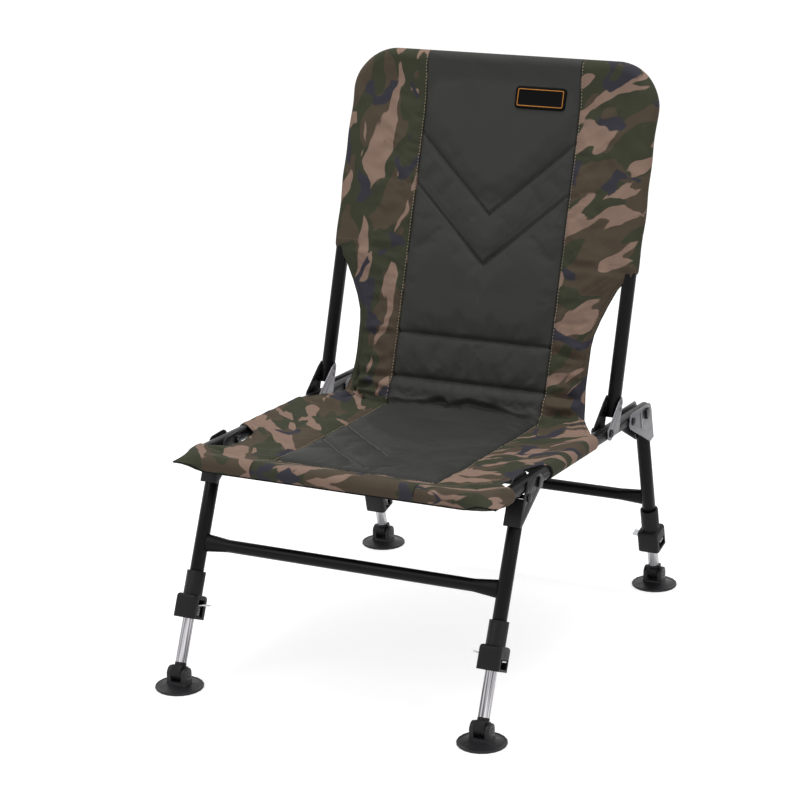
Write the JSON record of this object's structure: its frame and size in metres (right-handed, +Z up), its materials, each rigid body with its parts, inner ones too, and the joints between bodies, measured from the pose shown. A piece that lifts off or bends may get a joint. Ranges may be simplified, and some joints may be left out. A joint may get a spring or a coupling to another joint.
{
  "type": "folding fishing chair",
  "caption": "Low folding fishing chair with a quilted fabric sling on tube frames, folding back and legs, and sliding inner legs with swivelling mud feet.",
  "frame": {"origin": "on the floor under the centre of the chair's box, midway between the feet", "axes": "+Z up, -Y towards the front of the chair, +X to the right of someone who faces the chair from the front"},
  "size_m": [0.533, 0.7086, 0.8075],
  "materials": {
    "frame_steel": "black powder coat, satin",
    "plate_steel": "black coated pressed steel, light scuffs",
    "zinc_steel": "bright zinc plate",
    "dark_bolt_steel": "black zinc",
    "leg_aluminium": "drawn tube, satin",
    "collar_plastic": "moulded black nylon",
    "foot_plastic": "moulded black plastic, fine texture",
    "camo_fabric": "printed woven polyester over foam",
    "badge_fabric": "black woven patch, plain"
  },
  "bodies": {
    "seat": {"seat_frame": "frame_steel", "rail_end_cap_left": "collar_plastic", "rail_end_cap_right": "collar_plastic", "seat_fabric": "camo_fabric"},
    "front_legs": {"front_crossbar": "frame_steel", "leg_tube_front_left": "frame_steel", "leg_bracket_front_left": "plate_steel", "leg_pivot_bolt_front_left": "dark_bolt_steel", "leg_stop_bolt_front_left": "dark_bolt_steel", "lock_collar_front_left": "collar_plastic", "lock_spring_front_left": "zinc_steel", "leg_tube_front_right": "frame_steel", "leg_bracket_front_right": "plate_steel", "leg_pivot_bolt_front_right": "dark_bolt_steel", "leg_stop_bolt_front_right": "dark_bolt_steel", "lock_collar_front_right": "collar_plastic", "lock_spring_front_right": "zinc_steel"},
    "lock_lever_front_left": {"lock_plate_front_left": "zinc_steel"},
    "inner_leg_body_front_left": {"inner_leg_front_left": "leg_aluminium", "foot_knuckle_front_left": "collar_plastic"},
    "foot_front_left": {"foot_disc_front_left": "foot_plastic", "foot_pin_front_left": "dark_bolt_steel"},
    "lock_lever_front_right": {"lock_plate_front_right": "zinc_steel"},
    "inner_leg_body_front_right": {"inner_leg_front_right": "leg_aluminium", "foot_knuckle_front_right": "collar_plastic"},
    "foot_front_right": {"foot_disc_front_right": "foot_plastic", "foot_pin_front_right": "dark_bolt_steel"},
    "rear_legs": {"rear_crossbar": "frame_steel", "leg_tube_rear_left": "frame_steel", "leg_bracket_rear_left": "plate_steel", "leg_pivot_bolt_rear_left": "dark_bolt_steel", "leg_stop_bolt_rear_left": "dark_bolt_steel", "lock_collar_rear_left": "collar_plastic", "lock_spring_rear_left": "zinc_steel", "leg_tube_rear_right": "frame_steel", "leg_bracket_rear_right": "plate_steel", "leg_pivot_bolt_rear_right": "dark_bolt_steel", "leg_stop_bolt_rear_right": "dark_bolt_steel", "lock_collar_rear_right": "collar_plastic", "lock_spring_rear_right": "zinc_steel"},
    "lock_lever_rear_left": {"lock_plate_rear_left": "zinc_steel"},
    "inner_leg_body_rear_left": {"inner_leg_rear_left": "leg_aluminium", "foot_knuckle_rear_left": "collar_plastic"},
    "foot_rear_left": {"foot_disc_rear_left": "foot_plastic", "foot_pin_rear_left": "dark_bolt_steel"},
    "lock_lever_rear_right": {"lock_plate_rear_right": "zinc_steel"},
    "inner_leg_body_rear_right": {"inner_leg_rear_right": "leg_aluminium", "foot_knuckle_rear_right": "collar_plastic"},
    "foot_rear_right": {"foot_disc_rear_right": "foot_plastic", "foot_pin_rear_right": "dark_bolt_steel"},
    "backrest": {"backrest_frame": "frame_steel", "backrest_cheek_left_outer": "plate_steel", "backrest_cheek_left_inner": "plate_steel", "backrest_pivot_bolt_left": "dark_bolt_steel", "backrest_cheek_right_inner": "plate_steel", "backrest_cheek_right_outer": "plate_steel", "backrest_pivot_bolt_right": "dark_bolt_steel", "back_fabric": "camo_fabric", "badge_patch": "badge_fabric"}
  },
  "joints": [
    {"name": "backrest_fold", "type": "hinge", "parent": "seat", "child": "backrest", "pos_m": [0, 0.10374, 0.30787], "axis": [1, 0, 0], "range_deg": [0, 100]},
    {"name": "front_legs_fold", "type": "hinge", "parent": "seat", "child": "front_legs", "pos_m": [0, -0.15663, 0.31646], "axis": [1, 0, 0], "range_deg": [0, 106]},
    {"name": "rear_legs_fold", "type": "hinge", "parent": "seat", "child": "rear_legs", "pos_m": [0, 0.19052, 0.301], "axis": [-1, 0, 0], "range_deg": [0, 82]},
    {"name": "leg_slide_front_left", "type": "slide", "parent": "front_legs", "child": "inner_leg_body_front_left", "axis": [0, 0.4058, 0.914], "range_m": [-0.08, 0.055]},
    {"name": "foot_swivel_front_left", "type": "hinge", "parent": "inner_leg_body_front_left", "child": "foot_front_left", "pos_m": [-0.232, -0.31976, 0.021], "axis": [1, 0, 0], "range_deg": [-40, 40]},
    {"name": "lock_lever_front_left", "type": "hinge", "parent": "front_legs", "child": "lock_lever_front_left", "pos_m": [-0.2475, -0.28251, 0.1049], "axis": [0, -0.914, 0.4058], "range_deg": [0, 6], "stiffness_Nm_per_rad": 0.8, "springref_deg": -2.86, "deforming": ["lock_spring_front_left"]},
    {"name": "leg_slide_front_right", "type": "slide", "parent": "front_legs", "child": "inner_leg_body_front_right", "axis": [0, 0.4058, 0.914], "range_m": [-0.08, 0.055]},
    {"name": "foot_swivel_front_right", "type": "hinge", "parent": "inner_leg_body_front_right", "child": "foot_front_right", "pos_m": [0.232, -0.31976, 0.021], "axis": [1, 0, 0], "range_deg": [-40, 40]},
    {"name": "lock_lever_front_right", "type": "hinge", "parent": "front_legs", "child": "lock_lever_front_right", "pos_m": [0.2475, -0.28251, 0.1049], "axis": [0, 0.914, -0.4058], "range_deg": [0, 6], "stiffness_Nm_per_rad": 0.8, "springref_deg": -2.86, "deforming": ["lock_spring_front_right"]},
    {"name": "leg_slide_rear_left", "type": "slide", "parent": "rear_legs", "child": "inner_leg_body_rear_left", "axis": [0, -0.2334, 0.9724], "range_m": [-0.11, 0.025]},
    {"name": "foot_swivel_rear_left", "type": "hinge", "parent": "inner_leg_body_rear_left", "child": "foot_rear_left", "pos_m": [-0.232, 0.31976, 0.021], "axis": [-1, 0, 0], "range_deg": [-40, 40]},
    {"name": "lock_lever_rear_left", "type": "hinge", "parent": "rear_legs", "child": "lock_lever_rear_left", "pos_m": [-0.2475, 0.30559, 0.08002], "axis": [0, -0.9724, -0.2334], "range_deg": [0, 6], "stiffness_Nm_per_rad": 0.8, "springref_deg": -2.86, "deforming": ["lock_spring_rear_left"]},
    {"name": "leg_slide_rear_right", "type": "slide", "parent": "rear_legs", "child": "inner_leg_body_rear_right", "axis": [0, -0.2334, 0.9724], "range_m": [-0.11, 0.025]},
    {"name": "foot_swivel_rear_right", "type": "hinge", "parent": "inner_leg_body_rear_right", "child": "foot_rear_right", "pos_m": [0.232, 0.31976, 0.021], "axis": [-1, 0, 0], "range_deg": [-40, 40]},
    {"name": "lock_lever_rear_right", "type": "hinge", "parent": "rear_legs", "child": "lock_lever_rear_right", "pos_m": [0.2475, 0.30559, 0.08002], "axis": [0, 0.9724, 0.2334], "range_deg": [0, 6], "stiffness_Nm_per_rad": 0.8, "springref_deg": -2.86, "deforming": ["lock_spring_rear_right"]}
  ]
}
